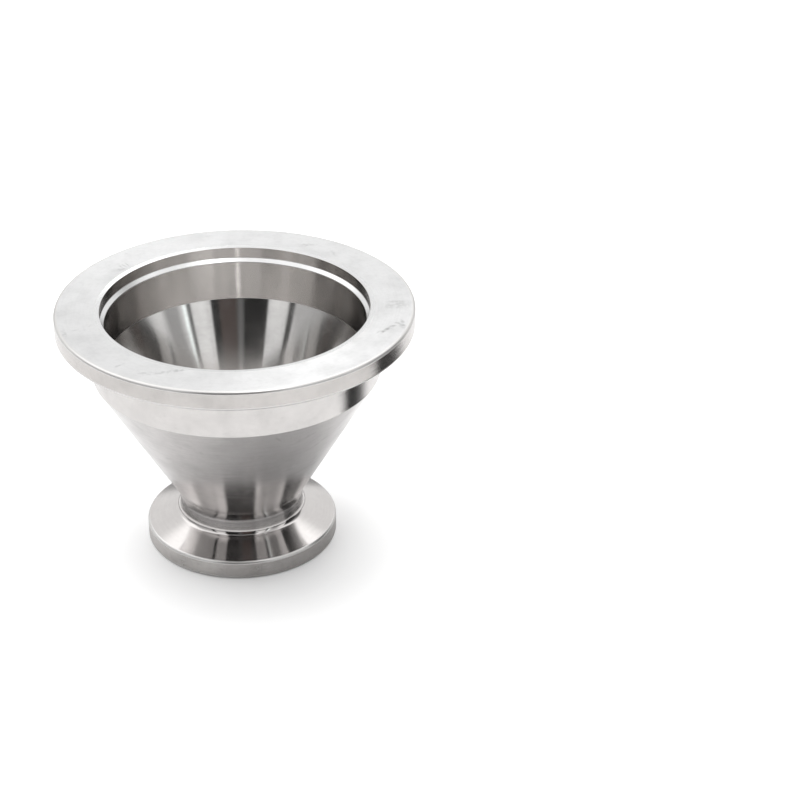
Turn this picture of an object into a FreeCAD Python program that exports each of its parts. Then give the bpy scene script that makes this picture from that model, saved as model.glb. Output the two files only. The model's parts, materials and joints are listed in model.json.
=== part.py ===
import FreeCAD
import Part
import math
import os

# Conical reducing adapter for small-flange vacuum fittings, in millimetres.
# One turned stainless piece: a narrow flange below, a wide flange above, and a
# cone between them that is open from end to end. The axis is Z, the narrow
# sealing face lies at Z = 0, and the wide sealing face looks along +Z.

# Whole piece
overall_height = 40.0

# Wide end
wide_rim_d = 55.0
wide_rim_thickness = 3.0
wide_stub_d = 44.5
wide_stub_end = 10.4
wide_stub_edge = 0.15
wide_recess_d = 41.2
wide_recess_depth = 1.85
wide_bore_d = 40.0
wide_bore_end = 8.8

# Narrow end
narrow_rim_d = 30.0
narrow_rim_thickness = 3.0
narrow_stub_d = 19.4
narrow_stub_end = 8.0
narrow_stub_edge = 3.5
narrow_recess_d = 17.2
narrow_recess_depth = 1.85
narrow_bore_d = 16.0
narrow_bore_end = 8.9

# Forms that both ends share
bevel_angle = 20.0
bevel_root_radius = 1.0
rim_edge_radius = 0.4
recess_edge_radius = 0.3
ledge_angle = 40.0
bore_edge_radius = 0.15

# A rounding takes at most this share of the shorter side beside its corner.
rounding_share = 0.45


def slope_drop(run, angle):
    """Height gained over a radial run by a surface that slopes at this angle."""
    return run * math.tan(math.radians(angle))


def outer_corners(rim_d, rim_thickness, stub_d, stub_end, stub_edge):
    """Outside of one end as (radius, depth below its face, rounding), from the face inwards."""
    rim_r = rim_d / 2
    stub_r = stub_d / 2
    bevel_end = rim_thickness + slope_drop(rim_r - stub_r, bevel_angle)
    return [
        (rim_r, 0.0, rim_edge_radius),
        (rim_r, rim_thickness, rim_edge_radius),
        (stub_r, bevel_end, bevel_root_radius),
        (stub_r, stub_end, stub_edge),
    ]


def inner_corners(recess_d, recess_depth, bore_d, bore_end):
    """Inside of one end as (radius, depth below its face, rounding), from the face inwards."""
    recess_r = recess_d / 2
    bore_r = bore_d / 2
    ledge_end = recess_depth + slope_drop(recess_r - bore_r, ledge_angle)
    return [
        (recess_r, 0.0, recess_edge_radius),
        (recess_r, recess_depth, 0.0),
        (bore_r, ledge_end, bore_edge_radius),
        (bore_r, bore_end, 0.0),
    ]


def section_corners():
    """Whole section, once round, as (point in the XZ plane, rounding)."""
    narrow_outer = outer_corners(
        narrow_rim_d, narrow_rim_thickness, narrow_stub_d, narrow_stub_end, narrow_stub_edge
    )
    wide_outer = outer_corners(
        wide_rim_d, wide_rim_thickness, wide_stub_d, wide_stub_end, wide_stub_edge
    )
    wide_inner = inner_corners(wide_recess_d, wide_recess_depth, wide_bore_d, wide_bore_end)
    narrow_inner = inner_corners(
        narrow_recess_d, narrow_recess_depth, narrow_bore_d, narrow_bore_end
    )
    corners = []
    for radius, depth, rounding in narrow_outer:
        corners.append((FreeCAD.Vector(radius, 0, depth), rounding))
    for radius, depth, rounding in wide_outer[::-1] + wide_inner:
        corners.append((FreeCAD.Vector(radius, 0, overall_height - depth), rounding))
    for radius, depth, rounding in narrow_inner[::-1]:
        corners.append((FreeCAD.Vector(radius, 0, depth), rounding))
    return corners


def rounded_corner(before, corner, after, rounding):
    """Start, middle and end of the arc that rounds a corner, or the corner alone if it is sharp."""
    if rounding == 0.0:
        return [corner]
    to_before = before - corner
    to_after = after - corner
    half_angle = to_before.getAngle(to_after) / 2
    longest = rounding_share * min(to_before.Length, to_after.Length)
    tangent = min(rounding / math.tan(half_angle), longest)
    radius = tangent * math.tan(half_angle)
    to_before.normalize()
    to_after.normalize()
    middle_way = to_before + to_after
    middle_way.normalize()
    reach = radius / math.sin(half_angle) - radius
    return [corner + to_before * tangent, corner + middle_way * reach, corner + to_after * tangent]


def section_face(corners):
    """Flat face of the section: straight sides joined by the arcs of its rounded corners."""
    arcs = []
    for index, (corner, rounding) in enumerate(corners):
        before = corners[index - 1][0]
        after = corners[(index + 1) % len(corners)][0]
        arcs.append(rounded_corner(before, corner, after, rounding))
    edges = []
    for index, arc in enumerate(arcs):
        if len(arc) == 3:
            edges.append(Part.Arc(arc[0], arc[1], arc[2]).toShape())
        following = arcs[(index + 1) % len(arcs)]
        edges.append(Part.LineSegment(arc[-1], following[0]).toShape())
    return Part.Face(Part.Wire(edges))


def adapter_body():
    """The section turned once round the Z axis."""
    face = section_face(section_corners())
    return face.revolve(FreeCAD.Vector(0, 0, 0), FreeCAD.Vector(0, 0, 1), 360)


os.makedirs("parts", exist_ok=True)
body = adapter_body()
body.exportStep("parts/adapter_body.step")
box = body.optimalBoundingBox()
print("adapter_body valid", body.isValid(), "solids", len(body.Solids))
print("volume mm3 %.1f  box %.2f x %.2f x %.2f mm" % (body.Volume, box.XLength, box.YLength, box.ZLength))
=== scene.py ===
# %% [markdown]
# # A turned stainless reducer, dressed for its photograph
#
# The real object is one piece of stainless steel, turned on a lathe: a wide flange on top, a cone, and a
# narrow flange that it stands on. Nothing on it moves and nothing is added to it. What gives it its look
# is therefore not many parts, but a true section, edges that are broken just enough to catch a line of
# light, and a set of finishes that differ in how the tool or the polishing cloth went over them. The
# neck's darker colour is painted shade.
#
# This lesson loads the measured model, turns its section again as one fine smooth surface, gives each
# stretch of the section its own finish with its own wear, and then builds the white studio that the metal
# mirrors.

# %% Load the measured model
import json
import math
from collections import namedtuple

import bpy
import numpy as np
from mathutils import Matrix, Vector


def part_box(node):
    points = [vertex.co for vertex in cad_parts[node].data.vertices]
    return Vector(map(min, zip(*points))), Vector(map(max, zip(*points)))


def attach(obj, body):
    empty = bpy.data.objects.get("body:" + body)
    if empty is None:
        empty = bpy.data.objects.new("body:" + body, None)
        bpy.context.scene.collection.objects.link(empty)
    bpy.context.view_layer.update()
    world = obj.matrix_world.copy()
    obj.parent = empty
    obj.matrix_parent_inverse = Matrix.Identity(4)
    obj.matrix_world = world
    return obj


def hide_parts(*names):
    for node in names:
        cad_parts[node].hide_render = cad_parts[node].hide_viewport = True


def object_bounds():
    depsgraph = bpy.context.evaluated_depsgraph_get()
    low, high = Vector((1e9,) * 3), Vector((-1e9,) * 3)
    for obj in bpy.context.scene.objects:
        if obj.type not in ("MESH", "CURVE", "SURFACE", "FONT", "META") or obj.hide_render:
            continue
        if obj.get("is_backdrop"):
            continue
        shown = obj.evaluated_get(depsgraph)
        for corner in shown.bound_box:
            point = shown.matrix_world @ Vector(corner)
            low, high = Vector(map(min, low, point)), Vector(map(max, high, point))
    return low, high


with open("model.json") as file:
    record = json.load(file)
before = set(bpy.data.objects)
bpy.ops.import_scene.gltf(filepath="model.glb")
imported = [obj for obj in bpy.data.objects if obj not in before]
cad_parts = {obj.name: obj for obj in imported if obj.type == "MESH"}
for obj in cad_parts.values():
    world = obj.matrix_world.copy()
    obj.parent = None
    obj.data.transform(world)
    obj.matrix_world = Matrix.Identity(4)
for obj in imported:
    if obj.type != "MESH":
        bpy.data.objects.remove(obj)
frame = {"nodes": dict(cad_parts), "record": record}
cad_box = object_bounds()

MM = 0.001
NODE = "adapter_body"
low_corner, high_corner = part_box(NODE)
overall_height = high_corner[2] - low_corner[2]
mounts = {mount["name"]: mount for mount in frame["record"]["mounts"]}
print("height of the measured model: %.2f mm" % (overall_height / MM))

# %% [markdown]
# ## The section
#
# A turned piece is fully described by its section: the line that a tool follows from one end to the
# other. The diameters that fit something are read from the model's own mounts, so the dressed piece can't
# drift away from them. The rest are the turner's dimensions, written once, in millimetres.
#
# Both ends are the same kind of flange at two sizes, so one set of names describes either of them, always
# measured from that end's sealing face inwards. The two ends differ in how their walls were finished, so
# the names of those walls are part of the description.

# %% Dimensions of the two ends
End = namedtuple(
    "End",
    "rim_r recess_r bore_r rim_thickness stub_r stub_end stub_edge stub_edge_name "
    "recess_depth bore_end lip_width rim_name stub_name",
)


def mount_radius(name):
    """Radius of a round mount of the model, in metres."""
    return mounts[name]["dims"]["r_mm"] * MM


wide_end = End(
    rim_r=mount_radius("wide_rim"),
    recess_r=mount_radius("wide_recess"),
    bore_r=mount_radius("wide_bore"),
    rim_thickness=3.0 * MM,
    stub_r=22.25 * MM,
    stub_end=10.4 * MM,
    stub_edge=0.15 * MM,
    stub_edge_name="edge",
    recess_depth=1.85 * MM,
    bore_end=8.8 * MM,
    lip_width=0.75 * MM,
    rim_name="wide_rim",
    stub_name="band",
)
narrow_end = End(
    rim_r=mount_radius("narrow_rim"),
    recess_r=mount_radius("narrow_recess"),
    bore_r=mount_radius("narrow_bore"),
    rim_thickness=3.0 * MM,
    stub_r=9.7 * MM,
    stub_end=8.0 * MM,
    stub_edge=3.5 * MM,
    stub_edge_name="outer_cone",
    recess_depth=1.85 * MM,
    bore_end=8.9 * MM,
    lip_width=0.5 * MM,
    rim_name="low_rim",
    stub_name="neck",
)
for end in (wide_end, narrow_end):
    print("%s radius %.2f mm, bore radius %.2f mm" % (end.rim_name, end.rim_r / MM, end.bore_r / MM))

# %% [markdown]
# ### Forms that both ends share
#
# Some forms are alike at both ends, because the same tools cut them: the slope of the bevel that a clamp
# draws on, the slope of the ledge inside, the dressed lip, and how far each edge is rounded. A slope is
# written as the angle that the turner sets, and kept as its tangent, the fall for each step of radius.

# %% Slopes and edge roundings that both ends share
BEVEL_SLOPE = math.tan(math.radians(20.0))
LEDGE_SLOPE = math.tan(math.radians(40.0))
LIP_SLOPE = math.tan(math.radians(7.0))
BEVEL_ROOT_RADIUS = 1.0 * MM
RIM_EDGE_RADIUS = 0.5 * MM
LIP_EDGE_RADIUS = 0.05 * MM
BORE_EDGE_RADIUS = 0.15 * MM
INNER_CORNER_RADIUS = 0.08 * MM
BORE_END_RADIUS = 0.1 * MM
print("the bevel falls %.3f mm for every millimetre of radius" % BEVEL_SLOPE)

# %% [markdown]
# ## Corners
#
# Each end gives two short lists of corners, one for its outside and one for its inside. A corner says how
# much it is rounded, what the rounding is called and what the side after it is called, because the finish
# belongs to them. Most roundings are only broken edges. The broad ones are cut in one sweep with the
# bevel or the cone, and take its finish: in the waist, where the cone meets the neck, that sweep is 3.5
# mm in radius. The mouth of the recess isn't a sharp corner on the real piece: a narrow lip, a few
# degrees off the sealing face, was left where the edge was dressed. It hardly changes the shape, but at
# the back it mirrors the bright ceiling, and shows as a white line.

# %% Corners of the section
Corner = namedtuple("Corner", "radius depth rounding arc side_after")


def outside_of(end):
    """Corners of an end's outside, from its face inwards; side_after names the side that follows each."""
    bevel_end = end.rim_thickness + (end.rim_r - end.stub_r) * BEVEL_SLOPE
    return [
        Corner(end.rim_r, 0.0, RIM_EDGE_RADIUS, "edge", end.rim_name),
        Corner(end.rim_r, end.rim_thickness, RIM_EDGE_RADIUS, "edge", "bevel"),
        Corner(end.stub_r, bevel_end, BEVEL_ROOT_RADIUS, "bevel", end.stub_name),
        Corner(end.stub_r, end.stub_end, end.stub_edge, end.stub_edge_name, "outer_cone"),
    ]


def inside_of(end):
    """Corners of an end's inside from its face inwards: lip, recess, sloping ledge, bore."""
    ledge_end = end.recess_depth + (end.recess_r - end.bore_r) * LEDGE_SLOPE
    lip_drop = end.lip_width * LIP_SLOPE
    return [
        Corner(end.recess_r + end.lip_width, 0.0, LIP_EDGE_RADIUS, "edge", "lip"),
        Corner(end.recess_r, lip_drop, LIP_EDGE_RADIUS, "edge", "recess"),
        Corner(end.recess_r, end.recess_depth, INNER_CORNER_RADIUS, "edge", "ledge"),
        Corner(end.bore_r, ledge_end, BORE_EDGE_RADIUS, "edge", "bore"),
        Corner(end.bore_r, end.bore_end, BORE_END_RADIUS, "edge", "inner_cone"),
    ]


def walk(corners, face_height, inwards, last_side):
    """Corners in the order of the walk round the section: (point, rounding, arc's name, next side's name).

    Where the corners are walked backwards, the side after a corner is the one named by the corner before it.
    """
    direction = 1 if face_height == 0 else -1
    names = [corner.side_after for corner in corners]
    if not inwards:
        corners = corners[::-1]
        names = names[:-1][::-1] + [last_side]
    points = [(corner.radius, face_height + direction * corner.depth) for corner in corners]
    steps = zip(points, corners, names)
    return [(point, corner.rounding, corner.arc, name) for point, corner, name in steps]


def section():
    """The whole section once round: up the outside from the narrow face, over the top, down the inside."""
    steps = walk(outside_of(narrow_end), 0.0, True, None)
    steps += walk(outside_of(wide_end), overall_height, False, "wide_face")
    steps += walk(inside_of(wide_end), overall_height, True, None)
    steps += walk(inside_of(narrow_end), 0.0, False, "narrow_face")
    points, roundings, arcs, sides = zip(*steps)
    return np.array(points), np.array(roundings), arcs, sides


corner_points, corner_roundings, arc_names, side_names = section()
print("section corners:", len(corner_points))
print("sides:", ", ".join(side_names))

# %% [markdown]
# ## From corners to a smooth line
#
# Each corner is rounded by an arc that touches both of its sides. The distance from a corner to the point
# of touch is the radius divided by the tangent of half the angle between the sides. The straight sides
# need few points, because a straight line on a turned piece is already exact, but one point is set close
# to each end, so that the shading of the flat stops where the arc starts instead of spreading over the
# flat.

# %% Round the corners
ARC_STEPS = 9
END_MARGIN = 0.05 * MM
SIDE_STEPS = 7


def unit(vectors):
    """Each row divided by its own length."""
    return vectors / np.linalg.norm(vectors, axis=-1, keepdims=True)


def rounded_line(points, roundings, arcs, sides):
    """Every point of the closed, rounded line, with the name of the stretch that follows each point.

    An arc is sampled by turning evenly from one side's normal to the other's about the arc's centre, which
    lies on the corner's bisector at radius divided by the sine of half the angle.
    """
    to_before = unit(np.roll(points, 1, axis=0) - points)
    to_after = unit(np.roll(points, -1, axis=0) - points)
    half_angle = np.arccos(np.clip((to_before * to_after).sum(axis=1), -1, 1)) / 2
    reach = roundings / np.tan(half_angle)
    centres = points + unit(to_before + to_after) * (roundings / np.sin(half_angle))[:, None]
    arc_starts = points + to_before * reach[:, None]
    arc_ends = points + to_after * reach[:, None]
    line, names = [], []
    for index, side in enumerate(sides):
        turn_angle = math.pi - 2 * half_angle[index]
        share = np.linspace(0, 1, ARC_STEPS)[:, None]
        first = arc_starts[index] - centres[index]
        last = arc_ends[index] - centres[index]
        turned = np.sin((1 - share) * turn_angle) * first + np.sin(share * turn_angle) * last
        line.append(centres[index] + turned / math.sin(turn_angle))
        names += [arcs[index]] * (ARC_STEPS - 1) + [side]
        start = arc_ends[index]
        end = arc_starts[(index + 1) % len(sides)]
        length = np.linalg.norm(end - start)
        between_ends = np.linspace(0, length, SIDE_STEPS)[1:-1]
        stops = np.sort(np.concatenate([[END_MARGIN], between_ends, [length - END_MARGIN]]))
        line.append(start + (end - start) * (stops / length)[:, None])
        names += [side] * len(stops)
    return np.concatenate(line), names


section_line, stretch_names = rounded_line(corner_points, corner_roundings, arc_names, side_names)
print("points on the section line:", len(section_line))

# %% [markdown]
# ## How true is the new line?
#
# Before anything is built from it, the line is compared with the measured model. Every corner of the
# model's mesh is turned into the plane of the section, where it is a point (radius, height), and its
# distance to the line is the least distance to any of the line's short pieces. Only dressed edges may
# differ.

# %% Compare the line with the measured model
SAME_PLACE_DIGITS = 7


def vertex_places(mesh):
    """The mesh's vertices, one row each."""
    places = np.empty(len(mesh.vertices) * 3)
    mesh.vertices.foreach_get("co", places)
    return places.reshape(-1, 3)


def distance_to_line(points, line):
    """Least distance from each point to the closed line: each piece is clipped to its two ends."""
    starts = line
    spans = np.roll(line, -1, axis=0) - line
    offsets = points[:, None, :] - starts[None]
    share = np.clip((offsets * spans).sum(axis=-1) / (spans**2).sum(axis=-1), 0, 1)
    return np.linalg.norm(offsets - share[..., None] * spans, axis=-1).min(axis=1)


model_mesh = frame["nodes"][NODE].data
model_places = vertex_places(model_mesh)
model_radii = np.hypot(model_places[:, 0], model_places[:, 1])
model_section = np.stack([model_radii, model_places[:, 2]], axis=-1)
model_section = np.unique(np.round(model_section, SAME_PLACE_DIGITS), axis=0)
gap = distance_to_line(model_section, section_line)
print("largest distance from the model to the line: %.3f mm" % (gap.max() / MM))
print("middle distance: %.4f mm" % (np.median(gap) / MM))

# %% [markdown]
# ## Turning the section
#
# The surface is a function of two parameters: how far along the section line a point lies, and the angle
# it has turned about the axis. As whole arrays, that is one outer product for x, one for y, and a repeat
# for z. The grid closes on itself both ways, so the piece has no seam, no pole and no loose edge.

# %% Turn it
TURNS = 320


def turned_mesh(name, line, turns):
    """A closed mesh: x = r cos a, y = r sin a, z = height for each section point (r, height) and angle a."""
    angles = np.linspace(0, 2 * math.pi, turns, endpoint=False)
    x = np.outer(line[:, 0], np.cos(angles))
    y = np.outer(line[:, 0], np.sin(angles))
    z = np.repeat(line[:, 1][:, None], turns, axis=1)
    vertices = np.stack([x, y, z], axis=-1).reshape(-1, 3)
    row, column = np.meshgrid(np.arange(len(line)), np.arange(turns), indexing="ij")
    next_row = (row + 1) % len(line)
    next_column = (column + 1) % turns
    round_the_face = [(row, column), (row, next_column), (next_row, next_column), (next_row, column)]
    faces = np.stack([r * turns + c for r, c in round_the_face], axis=-1).reshape(-1, 4)
    mesh = bpy.data.meshes.new(name)
    mesh.from_pydata(vertices.tolist(), [], faces.tolist())
    mesh.polygons.foreach_set("use_smooth", np.ones(len(faces), dtype=bool))
    mesh.update()
    return mesh


def signed_volume(mesh):
    """Sum over the triangles of a . (b x c) / 6: positive where the faces point outwards."""
    mesh.calc_loop_triangles()
    triangles = np.empty(len(mesh.loop_triangles) * 3, dtype=np.int32)
    mesh.loop_triangles.foreach_get("vertices", triangles)
    a, b, c = vertex_places(mesh)[triangles.reshape(-1, 3).T]
    return float((a * np.cross(b, c)).sum() / 6)


def add_object(name, data):
    """A new object of the scene."""
    made = bpy.data.objects.new(name, data)
    bpy.context.collection.objects.link(made)
    return made


adapter_mesh = turned_mesh("turned_adapter", section_line, TURNS)
if signed_volume(adapter_mesh) < 0:
    adapter_mesh.flip_normals()
adapter = add_object("turned_adapter", adapter_mesh)
turned_volume = signed_volume(adapter_mesh)
print("turned volume: %.1f mm3, triangles: %d" % (turned_volume / MM**3, len(adapter_mesh.loop_triangles)))

# %% [markdown]
# ## Small helpers for materials
#
# A material is a graph of nodes, and wiring one by hand takes four lines a node. A few helpers keep the
# finishes readable: one adds a node and wires its inputs, and the others do a sum with numbers or with
# vectors, move a value from one range to another, make noise of a size given in metres, or find the angle
# about the axis.

# %% Node helpers
NOISE_DETAIL = 3.0
WHITE = (1.0, 1.0, 1.0, 1.0)
BLACK = (0.0, 0.0, 0.0, 1.0)


def grey(level):
    """A neutral colour of this brightness."""
    return (level, level, level)


def wire(tree, kind, inputs=(), output=0, **settings):
    """Adds a shader node: inputs are (socket, value or link) pairs; settings are the node's own options."""
    made = tree.nodes.new(kind)
    for option, value in settings.items():
        setattr(made, option, value)
    for socket, value in inputs:
        if isinstance(value, bpy.types.NodeSocket):
            tree.links.new(value, made.inputs[socket])
        else:
            made.inputs[socket].default_value = value
    return made.outputs[output]


def maths(tree, operation, first, second=0.0):
    """One Math node."""
    return wire(tree, "ShaderNodeMath", [(0, first), (1, second)], operation=operation)


def vector(tree, operation, first, second=(0.0, 0.0, 0.0), output=0):
    """One Vector Math node."""
    return wire(tree, "ShaderNodeVectorMath", [(0, first), (1, second)], output, operation=operation)


def scaled(tree, first, factor):
    """A vector times a number."""
    return wire(tree, "ShaderNodeVectorMath", [(0, first), ("Scale", factor)], operation="SCALE")


def remap(tree, value, from_low, from_high, to_low, to_high, smooth=False):
    """A Map Range node, clamped."""
    kind = "SMOOTHSTEP" if smooth else "LINEAR"
    inputs = [(0, value), (1, from_low), (2, from_high), (3, to_low), (4, to_high)]
    return wire(tree, "ShaderNodeMapRange", inputs, interpolation_type=kind, clamp=True)


def noise(tree, place, size, detail=NOISE_DETAIL, output=0):
    """Noise from 0 to 1 whose features are about this size, in metres."""
    inputs = [("Vector", place), ("Scale", 1 / size), ("Detail", detail)]
    return wire(tree, "ShaderNodeTexNoise", inputs, output)


def separate(tree, place):
    """The parts x, y and z of a place."""
    split = tree.nodes.new("ShaderNodeSeparateXYZ")
    tree.links.new(place, split.inputs[0])
    return split.outputs


def angle_round(tree, x, y):
    """The angle about the axis in radians: 0 towards the camera, rising to the right."""
    return maths(tree, "ARCTAN2", x, maths(tree, "MULTIPLY", y, -1.0))


def empty_material(name):
    """A material with no nodes but its output, which is returned with it."""
    material = bpy.data.materials.new(name)
    material.use_nodes = True
    material.node_tree.nodes.clear()
    output = material.node_tree.nodes.new("ShaderNodeOutputMaterial")
    return material, material.node_tree, output


print("helpers: wire, maths, vector, scaled, remap, noise, separate, angle_round, empty_material")

# %% [markdown]
# ## A map of the turned surface
#
# Everything that a lathe, a cloth or a careless hand leaves on such a piece is easiest to say in the
# lathe's own terms: how far round, and how far along. So each finish reads the object's coordinates and
# works out three numbers: the angle about the axis, the radius, and the height. A wall is then unrolled
# into a strip, with millimetres round one way and height the other; a face is unrolled the same way, with
# the radius instead.

# %% Unroll the surface
SurfaceMap = namedtuple("SurfaceMap", "place rings strip")


def surface_map(tree, middle_radius, flat):
    """Object place, the ring place (radius, 0, height), and the strip place (round, along, 0), in metres.

    round = angle times the middle radius; along = the radius on a flat face and the height on a wall.
    """
    place = wire(tree, "ShaderNodeTexCoord", output="Object")
    x, y, z = separate(tree, place)
    across = maths(tree, "ADD", maths(tree, "MULTIPLY", x, x), maths(tree, "MULTIPLY", y, y))
    radius = maths(tree, "SQRT", across)
    turned = maths(tree, "MULTIPLY", angle_round(tree, x, y), middle_radius)
    rings = wire(tree, "ShaderNodeCombineXYZ", [("X", radius), ("Z", z)])
    strip = wire(tree, "ShaderNodeCombineXYZ", [("X", turned), ("Y", radius if flat else z)])
    return SurfaceMap(place, rings, strip)


print("angles are counted from the front, rising to the right")

# %% [markdown]
# ## Marks
#
# A handled piece has marks that no noise puts in the right place: a smear where a thumb has been, a short
# scratch, a dull patch beside the bore. Each one is a soft ellipse on the unrolled surface, given by its
# angle, its place along, its half length and half width, how it is turned, and how much light it takes.
# The unrolled place is shaken by a little noise first, so that no mark has a clean outline. A mark is
# full within its core and gone at its reach, both counted in its own half sizes.

# %% Where the marks are
Mark = namedtuple("Mark", "angle along half_length half_width turn strength")

FACE_MARKS = [
    Mark(63.5, 23.6, 0.8, 0.20, 15.0, 0.22),
    Mark(66.0, 24.3, 1.5, 0.34, 11.0, 0.30),
    Mark(68.0, 24.9, 0.7, 0.20, 30.0, 0.22),
    Mark(70.0, 25.0, 0.6, 0.25, 46.0, 0.24),
    Mark(71.0, 26.2, 0.9, 0.50, 146.0, 0.32),
    Mark(72.5, 25.3, 0.5, 0.25, 100.0, 0.18),
    Mark(74.0, 26.0, 0.8, 0.35, 150.0, 0.18),
    Mark(86.2, 24.6, 1.5, 2.10, 0.0, 0.13),
    Mark(88.6, 24.4, 0.4, 1.60, 0.0, 0.08),
    Mark(151.0, 23.6, 1.9, 0.70, 151.0, 0.13),
    Mark(137.5, 23.5, 1.9, 0.45, 38.0, 0.09),
    Mark(-28.0, 23.6, 4.2, 0.50, 148.0, 0.16),
    Mark(-23.0, 21.9, 1.2, 0.60, 160.0, 0.15),
    Mark(-43.0, 25.0, 1.0, 0.30, 90.0, 0.15),
    Mark(-127.0, 22.4, 1.3, 0.60, 20.0, 0.15),
    Mark(-129.5, 22.6, 0.9, 0.09, 110.0, 0.34),
    Mark(-131.0, 22.7, 0.9, 0.09, 110.0, 0.34),
    Mark(-132.5, 22.8, 0.8, 0.09, 110.0, 0.30),
    Mark(-73.0, 26.6, 1.4, 0.40, 5.0, 0.15),
    Mark(-74.5, 25.0, 0.8, 0.25, 90.0, 0.08),
    Mark(-149.0, 26.5, 0.4, 0.30, 0.0, 0.12),
    Mark(-139.0, 25.6, 0.5, 0.30, 60.0, 0.10),
    Mark(-76.0, 22.3, 0.7, 0.35, 30.0, 0.09),
]
CONE_MARKS = [
    Mark(15.2, 28.1, 0.8, 0.16, 118.0, 0.22),
    Mark(27.0, 26.6, 1.9, 0.35, 25.0, 0.12),
    Mark(-27.0, 25.9, 1.3, 0.22, 160.0, 0.12),
    Mark(-18.0, 25.0, 0.5, 0.35, 0.0, 0.10),
    Mark(38.0, 23.8, 2.2, 0.35, 35.0, 0.10),
    Mark(-38.0, 21.5, 1.6, 0.30, 15.0, 0.08),
    Mark(8.0, 20.0, 1.2, 0.20, 170.0, 0.08),
]
NOISE_MIDDLE = (0.5, 0.5, 0.5)
MARK_SHAKE = 0.3 * MM
MARK_SHAKE_SIZE = 1.3 * MM
MARK_CORE = 0.25
MARK_REACH = 1.3
BLOTCH_SIZE = 0.7 * MM
BLOTCH_RANGE = (0.42, 0.58)
BLOTCH_DEPTH = (0.35, 1.15)


def marks_on(tree, surface, middle_radius, marks):
    """Light that is kept, from 0 to 1: the product over the marks of 1 - strength x (soft ellipse).

    What they take together is multiplied by blotches, so that a mark is never of one even depth.
    """
    grain = noise(tree, surface.place, MARK_SHAKE_SIZE, output="Color")
    centred = vector(tree, "SUBTRACT", grain, NOISE_MIDDLE)
    shake = scaled(tree, centred, 2 * MARK_SHAKE)
    flat_shake = vector(tree, "MULTIPLY", shake, (1.0, 1.0, 0.0))
    place = vector(tree, "ADD", surface.strip, flat_shake)
    kept = 1.0
    for mark in marks:
        centre = (math.radians(mark.angle) * middle_radius, mark.along * MM, 0.0)
        inputs = [
            ("Vector", place),
            ("Location", centre),
            ("Rotation", (0.0, 0.0, math.radians(mark.turn))),
            ("Scale", (mark.half_length * MM, mark.half_width * MM, 1.0)),
        ]
        inside = wire(tree, "ShaderNodeMapping", inputs, vector_type="TEXTURE")
        away = vector(tree, "LENGTH", inside, output="Value")
        left = remap(tree, away, MARK_CORE, MARK_REACH, 1 - mark.strength, 1.0, smooth=True)
        kept = maths(tree, "MULTIPLY", kept, left)
    taken = maths(tree, "SUBTRACT", 1.0, kept)
    blotches = remap(tree, noise(tree, surface.place, BLOTCH_SIZE), *BLOTCH_RANGE, *BLOTCH_DEPTH)
    return maths(tree, "SUBTRACT", 1.0, maths(tree, "MULTIPLY", taken, blotches))


print("marks on the wide face: %d, on the outer cone: %d" % (len(FACE_MARKS), len(CONE_MARKS)))

# %% [markdown]
# ## Finishes
#
# All of it is the same steel. What differs is how it was left, except at the neck, whose darker colour is
# painted shade for the waist under the cone. A turned wall is two things at once: a mirror that is sharp
# round the axis, and a stack of fine grooves whose flanks lean up and down and throw the light in a fan
# across themselves, never along. That fan is why a turned bore shows one bright upright line, and why a
# turned face has a bright sector. Polished cones have hardly any fan, so the studio stands in them like
# in a mirror.
#
# Over that lie the clouds that handling leaves, dull streaks that follow the turning, and the marks.
#
# The table has one row for each finish: its colour; how rough the polish is; how far that roughness is
# stretched across the rings; how steeply the groove flanks lean; how high the coarse rings stand, in
# micrometres; how much light the clouds and the streaks take; the radius at which the surface is
# unrolled, in millimetres; whether it is a flat face; and its marks.

# %% Table of finishes
Finish = namedtuple("Finish", "colour polish stretch fan lines clouds streaks radius flat marks")

FINISHES = {
    "wide_face": Finish(grey(0.625), 0.36, 0.6, 0.0, 0.4, 0.09, 0.03, 24.0, True, FACE_MARKS),
    "narrow_face": Finish(grey(0.625), 0.36, 0.6, 0.0, 0.4, 0.09, 0.03, 12.0, True, []),
    "lip": Finish(grey(0.66), 0.20, 0.8, 0.0, 0.4, 0.03, 0.02, 21.0, True, []),
    "wide_rim": Finish((0.54, 0.519, 0.504), 0.18, 1.0, 0.25, 0.3, 0.07, 0.015, 27.5, False, []),
    "low_rim": Finish((0.59, 0.568, 0.552), 0.18, 1.0, 0.3, 0.3, 0.14, 0.05, 15.0, False, []),
    "bevel": Finish((0.55, 0.53, 0.52), 0.10, 0.9, 0.0, 0.4, 0.04, 0.03, 12.0, True, []),
    "band": Finish((0.62, 0.601, 0.59), 0.18, 1.0, 0.25, 0.3, 0.06, 0.015, 22.2, False, []),
    # Painted shade: the neck's colour is darker than the rest of the same steel, for the shade in the waist
    # under the cone.
    "neck": Finish((0.38, 0.368, 0.363), 0.14, 0.9, 0.1, 0.3, 0.05, 0.05, 9.7, False, []),
    "outer_cone": Finish((0.59, 0.57, 0.563), 0.11, 0.9, 0.0, 0.3, 0.10, 0.09, 16.0, False, CONE_MARKS),
    "edge": Finish((0.62, 0.61, 0.60), 0.33, 0.3, 0.0, 0.2, 0.03, 0.00, 20.0, False, []),
    "recess": Finish((0.66, 0.638, 0.62), 0.16, 1.0, 0.15, 0.3, 0.05, 0.03, 20.6, False, []),
    "ledge": Finish(grey(0.66), 0.22, 0.5, 0.0, 0.4, 0.04, 0.02, 20.3, True, []),
    "bore": Finish((0.665, 0.643, 0.626), 0.15, 1.0, 0.15, 0.3, 0.04, 0.03, 20.0, False, []),
    "inner_cone": Finish((0.62, 0.61, 0.60), 0.11, 0.95, 0.0, 0.2, 0.06, 0.03, 15.0, False, []),
}
print("finishes:", len(FINISHES))

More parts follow.
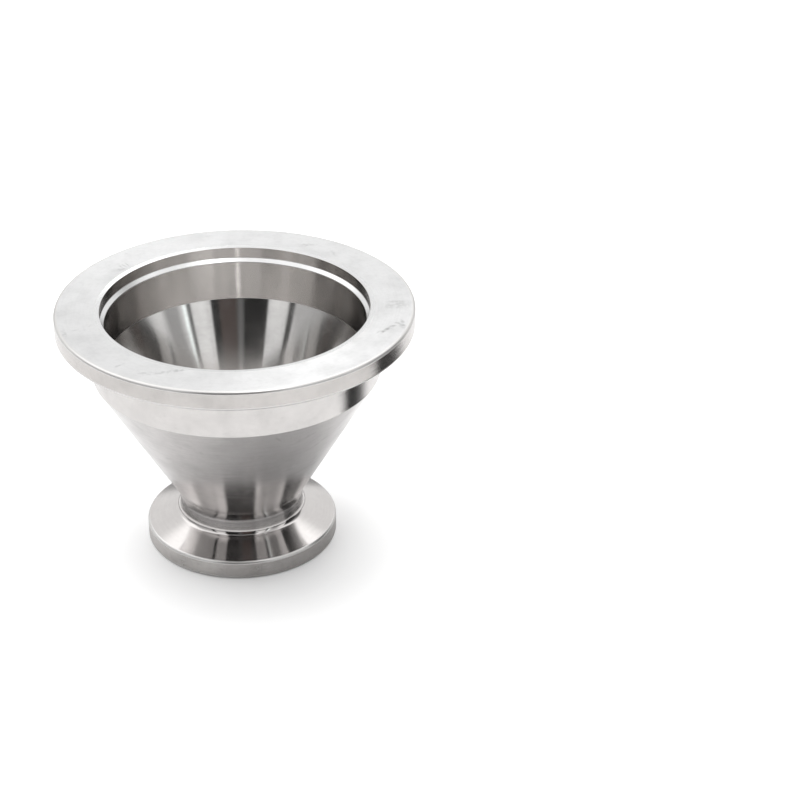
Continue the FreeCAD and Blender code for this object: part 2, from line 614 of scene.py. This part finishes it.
# %% [markdown]
# ## Making a finish
#
# The rings are noise that reads only the radius and the height, so they run true round the axis. Coarse
# rings make a bump of a few tenths of a micrometre. The fine ones, closer together than the eye resolves,
# lean the normal across the grooves. Clouds read the plain place, streaks read the unrolled strip,
# squeezed so that they are twenty times longer than wide. Both only take light away, and make the metal a
# little duller where they do.

# %% Make the finishes
LINE_PITCH = 0.30 * MM
GROOVE_PITCH = 0.04 * MM
GROOVE_DETAIL = 1.0
CLOUD_SIZE = 4.0 * MM
CLOUD_DETAIL = 5.0
CLOUD_RANGE = (0.42, 0.68)
SPECK_SIZE = 0.7 * MM
SPECK_DETAIL = 2.0
SPECK_RANGE = (0.45, 0.75)
SPECK_SHARE = 0.5
STREAK_WIDTH = 0.25 * MM
STREAK_LENGTH = 5.0 * MM
STREAK_DETAIL = 4.0
STREAK_RANGE = (0.40, 0.70)
MICROMETRE = 1e-6
DULLING = 0.5
QUARTER_TURN = 0.25


def wear(tree, surface, finish):
    """Light that is kept by clouds, specks, streaks and marks together, from 0 to 1."""
    cloud_noise = noise(tree, surface.place, CLOUD_SIZE, CLOUD_DETAIL)
    clouds = remap(tree, cloud_noise, *CLOUD_RANGE, 1.0, 1 - finish.clouds)
    speck_noise = noise(tree, surface.place, SPECK_SIZE, SPECK_DETAIL)
    specks = remap(tree, speck_noise, *SPECK_RANGE, 1.0, 1 - SPECK_SHARE * finish.clouds)
    squeeze = [("Vector", surface.strip), ("Scale", (1 / STREAK_LENGTH, 1 / STREAK_WIDTH, 1.0))]
    along_turning = wire(tree, "ShaderNodeMapping", squeeze)
    streak_noise = noise(tree, along_turning, 1.0, STREAK_DETAIL)
    streaks = remap(tree, streak_noise, *STREAK_RANGE, 1.0, 1 - finish.streaks)
    kept = maths(tree, "MULTIPLY", maths(tree, "MULTIPLY", clouds, specks), streaks)
    if finish.marks:
        kept = maths(tree, "MULTIPLY", kept, marks_on(tree, surface, finish.radius * MM, finish.marks))
    return kept


def leaned(tree, normal, tangent, rings, fan):
    """The normal leaned across the grooves: normal + (normal x tangent) * slope, with slope = fan (2 n - 1).

    The noise n reads only the rings, so every ring leans one way all round.
    """
    grooves = noise(tree, rings, GROOVE_PITCH, GROOVE_DETAIL)
    slope = remap(tree, grooves, 0.0, 1.0, -fan, fan)
    lean = scaled(tree, vector(tree, "CROSS_PRODUCT", normal, tangent), slope)
    return vector(tree, "NORMALIZE", vector(tree, "ADD", normal, lean))


def steel_finish(name, finish):
    """One turned steel finish, as a material."""
    material, tree, output = empty_material("steel_" + name)
    surface = surface_map(tree, finish.radius * MM, finish.flat)
    kept = wear(tree, surface, finish)
    colour = scaled(tree, finish.colour, kept)
    dulled = maths(tree, "MULTIPLY", maths(tree, "SUBTRACT", 1.0, kept), DULLING)
    roughness = maths(tree, "ADD", dulled, finish.polish)
    rings = noise(tree, surface.rings, LINE_PITCH)
    bump = [("Strength", 1.0), ("Distance", finish.lines * MICROMETRE), ("Height", rings)]
    normal = wire(tree, "ShaderNodeBump", bump)
    tangent = wire(tree, "ShaderNodeTangent", direction_type="RADIAL", axis="Z")
    if finish.fan > 0:
        normal = leaned(tree, normal, tangent, surface.rings, finish.fan)
    inputs = [
        ("Base Color", colour),
        ("Metallic", 1.0),
        ("Roughness", roughness),
        ("Anisotropic", finish.stretch),
        ("Anisotropic Rotation", QUARTER_TURN),
        ("Tangent", tangent),
        ("Normal", normal),
    ]
    steel = wire(tree, "ShaderNodeBsdfPrincipled", inputs)
    tree.links.new(steel, output.inputs["Surface"])
    return material


for name, finish in FINISHES.items():
    adapter_mesh.materials.append(steel_finish(name, finish))
finish_names = list(FINISHES)
stretch_slots = np.array([finish_names.index(name) for name in stretch_names], dtype=np.int32)
adapter_mesh.polygons.foreach_set("material_index", np.repeat(stretch_slots, TURNS))
print("stretches of the section with a finish:", len(stretch_slots))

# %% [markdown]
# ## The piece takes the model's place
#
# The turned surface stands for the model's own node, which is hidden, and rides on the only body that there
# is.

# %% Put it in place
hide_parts(NODE)
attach(adapter, "root")
print("turned_adapter replaces", NODE)

# %% [markdown]
# ## The floor
#
# Polished steel shows what is round it more than it shows itself, so the floor matters twice: as the
# paper that the camera sees, and as what the rims, the band and the cone mirror. It is one large sheet of
# white paper, a hair's breadth below the foot so that the two never lie in one plane.

# %% Lay the floor
FLOOR_HALF_WIDTH = 1.5
FLOOR_DROP = 0.02 * MM
floor_mesh = bpy.data.meshes.new("studio_floor")
floor_z = low_corner[2] - FLOOR_DROP
signs = ((-1, -1), (1, -1), (1, 1), (-1, 1))
floor_corners = [(a * FLOOR_HALF_WIDTH, b * FLOOR_HALF_WIDTH, floor_z) for a, b in signs]
floor_mesh.from_pydata(floor_corners, [], [(0, 1, 2, 3)])
floor = add_object("studio_floor", floor_mesh)
floor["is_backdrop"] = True
print("floor: %.0f m across" % (2 * FLOOR_HALF_WIDTH))

# %% [markdown]
# ### The paper's two looks
#
# The Light Path node tells a material what kind of ray is asking, so one sheet can look one way to the
# camera and another way in the steel. The camera's view of it is lifted to white by a glow, as a
# photographer does who wants no grey sheet. The glow is weaker near the foot, so round the foot it paints
# a shade on top of the real soft shadow. In the steel, the same paper has a painted shade close to the
# foot: its colour is darker there, and the glow that the steel sees is weaker there too. Each lift is a
# pair: what is added near the foot, and what is added far from it.

# %% Make the paper
PAPER = 0.74
# Painted shade: the glows below are weaker near this point, a little to the front and right of the axis, so
# the paper is darker round the foot.
SHADE_CENTRE = (3 * MM, -8 * MM, 0.0)
NEAR = 8 * MM
FAR = 28 * MM
CAMERA_LIFT = (0.155, 0.515)
MIRROR_LIFT = (0.09, 0.415)
# Painted shade: in what the steel mirrors, the paper is made darker round this point, fading out between
# MIRRORED_NEAR and MIRRORED_FAR.
MIRRORED_CENTRE = (10.5 * MM, -5 * MM, 0.0)
MIRRORED_NEAR = 11 * MM
MIRRORED_FAR = 32 * MM
MIRRORED_PAINTED_SHADE = 0.49


def floor_paper():
    """White paper, lifted away from the foot, with a painted shade round the foot, deeper in what the steel
    mirrors.
    """
    material, tree, output = empty_material("white_floor")
    place = wire(tree, "ShaderNodeTexCoord", output="Object")
    away = vector(tree, "DISTANCE", place, SHADE_CENTRE, output="Value")
    from_shade = vector(tree, "DISTANCE", place, MIRRORED_CENTRE, output="Value")
    ray = tree.nodes.new("ShaderNodeLightPath")
    in_camera, in_steel, in_glass = (
        ray.outputs[kind] for kind in ("Is Camera Ray", "Is Glossy Ray", "Is Transmission Ray")
    )
    mirrored = maths(tree, "MAXIMUM", in_steel, in_glass)
    # painted shade: the paper's colour is darker near the foot for rays from the steel
    painted_shade_near_foot = remap(tree, from_shade, MIRRORED_NEAR, MIRRORED_FAR, MIRRORED_PAINTED_SHADE, 0.0)
    kept = maths(tree, "SUBTRACT", 1.0, maths(tree, "MULTIPLY", mirrored, painted_shade_near_foot))
    paper = wire(tree, "ShaderNodeBsdfDiffuse", [("Color", maths(tree, "MULTIPLY", kept, PAPER))])
    # painted shade: the glows are weaker near the foot, so the paper is darker round it
    to_camera = maths(tree, "MULTIPLY", remap(tree, away, NEAR, FAR, *CAMERA_LIFT), in_camera)
    to_steel = maths(tree, "MULTIPLY", remap(tree, away, NEAR, FAR, *MIRROR_LIFT), mirrored)
    lift = maths(tree, "ADD", to_camera, to_steel)
    glow = wire(tree, "ShaderNodeEmission", [("Color", WHITE), ("Strength", lift)])
    both = wire(tree, "ShaderNodeAddShader", [(0, paper), (1, glow)])
    tree.links.new(both, output.inputs["Surface"])
    return material


floor_mesh.materials.append(floor_paper())
print("paper colour:", PAPER)

# %% [markdown]
# ## A dark flag
#
# A rim wall that mirrors nothing but white paper has no shape. Photographers stand a dark flag just
# outside the picture, and its reflection gives the right of the rim and of the band their dark, upright
# patch. Here it is half a tube beside the piece, which the camera doesn't see and which throws no shadow.
# Its cloth is dense at the near edge, where the photograph shows a hard line, and thins out towards the
# far one.

# %% Stand the flag
FLAG_PLACE = (55.6 * MM, -2.4 * MM)
FLAG_RADIUS = 12 * MM
FLAG_HEIGHT = 34 * MM
FLAG_STEPS = 24
FLAG_LEVEL = 0.04
FLAG_THIN_FROM = -4 * MM
FLAG_THIN_TO = 9 * MM


def flag_mesh():
    """Half a tube that bulges towards the piece.

    x = centre x - radius cos a and y = centre y + radius sin a, with a from -90 to 90 degrees.
    """
    angles = np.linspace(-math.pi / 2, math.pi / 2, FLAG_STEPS)
    x = FLAG_PLACE[0] - FLAG_RADIUS * np.cos(angles)
    y = FLAG_PLACE[1] + FLAG_RADIUS * np.sin(angles)
    heights = (low_corner[2], low_corner[2] + FLAG_HEIGHT)
    rows = [np.stack([x, y, np.full(FLAG_STEPS, height)], axis=-1) for height in heights]
    first = np.arange(FLAG_STEPS - 1)
    faces = np.stack([first, first + 1, first + 1 + FLAG_STEPS, first + FLAG_STEPS], axis=-1)
    mesh = bpy.data.meshes.new("dark_flag")
    mesh.from_pydata(np.concatenate(rows).tolist(), [], faces.tolist())
    return mesh


def flag_cloth():
    """Cloth that shows one even, very dark grey, and lets more and more through towards its far edge."""
    material, tree, output = empty_material("dark_cloth")
    place = wire(tree, "ShaderNodeTexCoord", output="Object")
    depth = wire(tree, "ShaderNodeSeparateXYZ", [(0, place)], output="Y")
    dense = remap(tree, depth, FLAG_THIN_FROM, FLAG_THIN_TO, 1.0, 0.0, smooth=True)
    clear = wire(tree, "ShaderNodeBsdfTransparent")
    cloth = wire(tree, "ShaderNodeEmission", [("Color", WHITE), ("Strength", FLAG_LEVEL)])
    both = wire(tree, "ShaderNodeMixShader", [(0, dense), (1, clear), (2, cloth)])
    tree.links.new(both, output.inputs["Surface"])
    return material


flag = add_object("dark_flag", flag_mesh())
flag.visible_camera = False
flag.visible_shadow = False
flag.visible_diffuse = False
flag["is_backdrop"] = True
flag.data.materials.append(flag_cloth())
print("flag: %d faces" % len(flag.data.polygons))

# %% [markdown]
# ## The studio
#
# The upright stripes inside the cone are a map of the room: white screens and walls to the left and
# right, their thin dark stands, and the dark end of the room behind the camera. It could be built from
# real panels, but a panel far away is only a patch of direction. So the world is painted: each panel has
# a left and a right edge and a bottom and a top, in degrees seen from the piece, soft edges, and a
# brightness near 1. Left and right are counted from the camera's side, which is 0. The first list stands
# round the room. What is low on the camera's side is then dimmed, and the second list, which is the
# ceiling and the dark end of the room, is painted last.

# %% Panels of the studio
Panel = namedtuple("Panel", "name left right side_blur bottom top end_blur colour")

WALL_LEVEL = 1.17
ROUND_THE_ROOM = [
    Panel("left wall", -112.0, -57.0, 3.0, -90.0, 90.0, 1.0, grey(0.76)),
    Panel("left screen", -49.0, -31.5, 1.0, -90.0, 90.0, 1.0, grey(1.10)),
    Panel("left stand", -56.5, -50.5, 1.2, -90.0, 90.0, 1.0, grey(0.04)),
    Panel("right wall", 52.0, 125.0, 4.0, -90.0, 90.0, 1.0, grey(0.55)),
    Panel("right screen", 22.5, 43.0, 1.0, -90.0, 90.0, 1.0, grey(1.15)),
    Panel("right stand", 41.5, 45.3, 1.2, -90.0, 90.0, 1.0, grey(0.12)),
    Panel("right lamp edge", 46.2, 49.0, 0.7, -90.0, 90.0, 1.0, (1.80, 1.95, 1.95)),
    Panel("right lamp", 68.0, 84.0, 4.0, -90.0, 90.0, 1.0, grey(1.32)),
    Panel("dark screen on the right", 92.0, 122.0, 5.0, -10.0, 31.0, 5.0, grey(0.20)),
    Panel("far edge of the table, right", 105.0, 200.0, 8.0, -4.0, 7.0, 3.0, grey(0.35)),
    Panel("far edge of the table, left", -200.0, -105.0, 8.0, -4.0, 7.0, 3.0, grey(0.35)),
]
ABOVE = [
    Panel("ceiling", -200.0, 200.0, 1.0, 43.0, 200.0, 7.0, grey(1.5)),
    Panel("left window", -140.0, -95.0, 6.0, 28.0, 60.0, 5.0, grey(1.9)),
    Panel("back of the ceiling, right", 125.0, 163.0, 6.0, 44.0, 70.0, 5.0, grey(1.9)),
    Panel("back of the ceiling, left", -163.0, -125.0, 6.0, 44.0, 70.0, 5.0, grey(1.9)),
    Panel("beam on the right", 38.0, 84.0, 5.0, 40.0, 58.0, 4.0, grey(0.80)),
    Panel("strip light behind", 169.0, 175.0, 1.5, 33.0, 54.0, 3.0, grey(5.5)),
    Panel("dark end of the room, above", -35.0, 29.0, 3.0, 33.0, 60.0, 4.0, grey(0.10)),
    Panel("dark end of the room", -31.0, 22.5, 1.0, -90.0, 47.0, 6.0, grey(0.022)),
    Panel("foot of the dark end", -31.0, 22.5, 1.0, -90.0, 21.0, 3.0, grey(0.05)),
    Panel("brown door", -2.0, 15.0, 2.0, -90.0, 38.0, 6.0, (0.10, 0.078, 0.072)),
    Panel("gap beside the door", -8.0, -2.0, 2.4, 18.0, 38.0, 4.0, grey(0.20)),
]
DIM_SIDE = 110.0
DIM_BLUR = 15.0
DIM_FROM = 27.0
DIM_TO = 12.0
DIM_BY = 0.55
print("panels:", len(ROUND_THE_ROOM) + len(ABOVE))

# %% [markdown]
# ### Painting the room
#
# Every direction from the piece is turned into two angles, one round and one up. A panel's share in a
# direction is 1 within its edges and falls smoothly to 0 over its blur. Painting is then mixing by that
# share, one panel over the other, so a later panel hides an earlier one as a nearer screen would. The
# camera itself sees plain white, and only the steel and the paper see the room.

# %% Paint the studio
FIRST_COLOUR = 6
SECOND_COLOUR = 7
MIXED_COLOUR = 2


def between(tree, value, low, high, soft):
    """1 where the value is between low and high, falling smoothly to 0 over soft to each side of both."""
    above = remap(tree, value, low - soft, low + soft, 0.0, 1.0, smooth=True)
    below = remap(tree, value, high - soft, high + soft, 1.0, 0.0, smooth=True)
    return maths(tree, "MULTIPLY", above, below)


def blend_colour(tree, share, first, second):
    """A Mix node for colours; its sockets for colours come after those for its other kinds of value."""
    inputs = [(0, share), (FIRST_COLOUR, first), (SECOND_COLOUR, second)]
    return wire(tree, "ShaderNodeMix", inputs, MIXED_COLOUR, data_type="RGBA")


def paint(tree, colour, panels, azimuth, elevation):
    """The colour with the panels painted over it in turn."""
    for panel in panels:
        across = between(tree, azimuth, panel.left, panel.right, panel.side_blur)
        up = between(tree, elevation, panel.bottom, panel.top, panel.end_blur)
        colour = blend_colour(tree, maths(tree, "MULTIPLY", across, up), colour, (*panel.colour, 1.0))
    return colour


def studio_world():
    """A world that is white to the camera and a painted room to everything else."""
    world = bpy.data.worlds.new("white_studio")
    world.use_nodes = True
    tree = world.node_tree
    tree.nodes.clear()
    output = tree.nodes.new("ShaderNodeOutputWorld")
    direction = wire(tree, "ShaderNodeTexCoord", output="Generated")
    x, y, z = separate(tree, direction)
    to_degrees = 180 / math.pi
    elevation = maths(tree, "MULTIPLY", maths(tree, "ARCSINE", z), to_degrees)
    azimuth = maths(tree, "MULTIPLY", angle_round(tree, x, y), to_degrees)
    room = paint(tree, (*grey(WALL_LEVEL), 1.0), ROUND_THE_ROOM, azimuth, elevation)
    low = remap(tree, elevation, DIM_TO, DIM_FROM, DIM_BY, 0.0, smooth=True)
    front = between(tree, azimuth, -DIM_SIDE, DIM_SIDE, DIM_BLUR)
    room = blend_colour(tree, maths(tree, "MULTIPLY", front, low), room, BLACK)
    room = paint(tree, room, ABOVE, azimuth, elevation)
    ray = tree.nodes.new("ShaderNodeLightPath")
    seen = blend_colour(tree, ray.outputs["Is Camera Ray"], room, WHITE)
    background = wire(tree, "ShaderNodeBackground", [("Color", seen), ("Strength", 1.0)])
    tree.links.new(background, output.inputs["Surface"])
    return world


bpy.context.scene.world = studio_world()
print("world:", bpy.context.scene.world.name)

# %% [markdown]
# ## One small lamp
#
# A broad, weak lamp hangs overhead and to the right. It hardly lights anything, but the grooves of the
# wide face throw it into a bright sector in front. The bright upright line in the recess and in the bore
# is made the same way, by the painted strip light behind, which the grooves there throw up and down.

# %% Hang the lamp
LAMP_AZIMUTH = math.radians(27.0)
LAMP_ELEVATION = math.radians(66.0)
LAMP_DISTANCE = 0.5
LAMP_WIDTH = 160 * MM
LAMP_LENGTH = 90 * MM
LAMP_POWER = 0.25


def direction_to(azimuth, elevation):
    """The unit vector at an angle round from the camera's side and an angle up."""
    level = math.cos(elevation)
    return Vector((math.sin(azimuth) * level, -math.cos(azimuth) * level, math.sin(elevation)))


sector_light = bpy.data.lights.new("sector_lamp", "AREA")
sector_light.shape = "RECTANGLE"
sector_light.size = LAMP_WIDTH
sector_light.size_y = LAMP_LENGTH
sector_light.energy = LAMP_POWER
sector_lamp = add_object("sector_lamp", sector_light)
to_lamp = direction_to(LAMP_AZIMUTH, LAMP_ELEVATION)
sector_lamp.location = to_lamp * LAMP_DISTANCE + Vector((0, 0, overall_height))
sector_lamp.rotation_euler = to_lamp.to_track_quat("Z", "Y").to_euler()
sector_lamp.visible_camera = False
print("lamp: %.2f W at %.1f m" % (LAMP_POWER, LAMP_DISTANCE))

# %% [markdown]
# ## The camera
#
# The camera stands where the photograph was taken from. Its place and its lens were worked out from the
# ellipses of the rims, whose real diameters are known: a circle of known size, seen as an ellipse, says
# how far away and how high the eye is. The small roll is the photographer's.

# %% Place the camera
CAMERA_BACK = 305.4 * MM
CAMERA_HEIGHT = 193.6 * MM
CAMERA_YAW = -4.727
CAMERA_PITCH = -29.185
CAMERA_ROLL = -0.303
CAMERA_LENS = 100.73
SENSOR_WIDTH = 36.0
NEAREST = 10 * MM
FARTHEST = 10.0


def turn(degrees, axis):
    """A rotation about one axis, as a 4 x 4 matrix."""
    return Matrix.Rotation(math.radians(degrees), 4, axis)


lens = bpy.data.cameras.new("camera")
lens.lens = CAMERA_LENS
lens.sensor_width = SENSOR_WIDTH
lens.clip_start = NEAREST
lens.clip_end = FARTHEST
camera = add_object("camera", lens)
level_ahead = turn(90.0, "X")
aim = turn(CAMERA_YAW, "Z") @ turn(CAMERA_PITCH, "X") @ turn(CAMERA_ROLL, "Y") @ level_ahead
stand = Vector((0.0, -CAMERA_BACK, low_corner[2] + CAMERA_HEIGHT))
camera.matrix_world = Matrix.Translation(stand) @ aim
bpy.context.scene.camera = camera
bpy.context.scene.view_settings.view_transform = "Standard"
print("camera %.0f mm from the axis, lens %.1f mm" % (CAMERA_BACK / MM, CAMERA_LENS))

# %% [markdown]
# ## Sizes
#
# The dressed piece has to stay inside the measured model's box. Both boxes are measured, and the largest
# difference between them is printed.

# %% Compare both boxes and finish
visual_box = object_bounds()
difference = np.abs(np.subtract(cad_box, visual_box)).max()
print("largest difference between the boxes: %.4f mm" % (difference / MM))
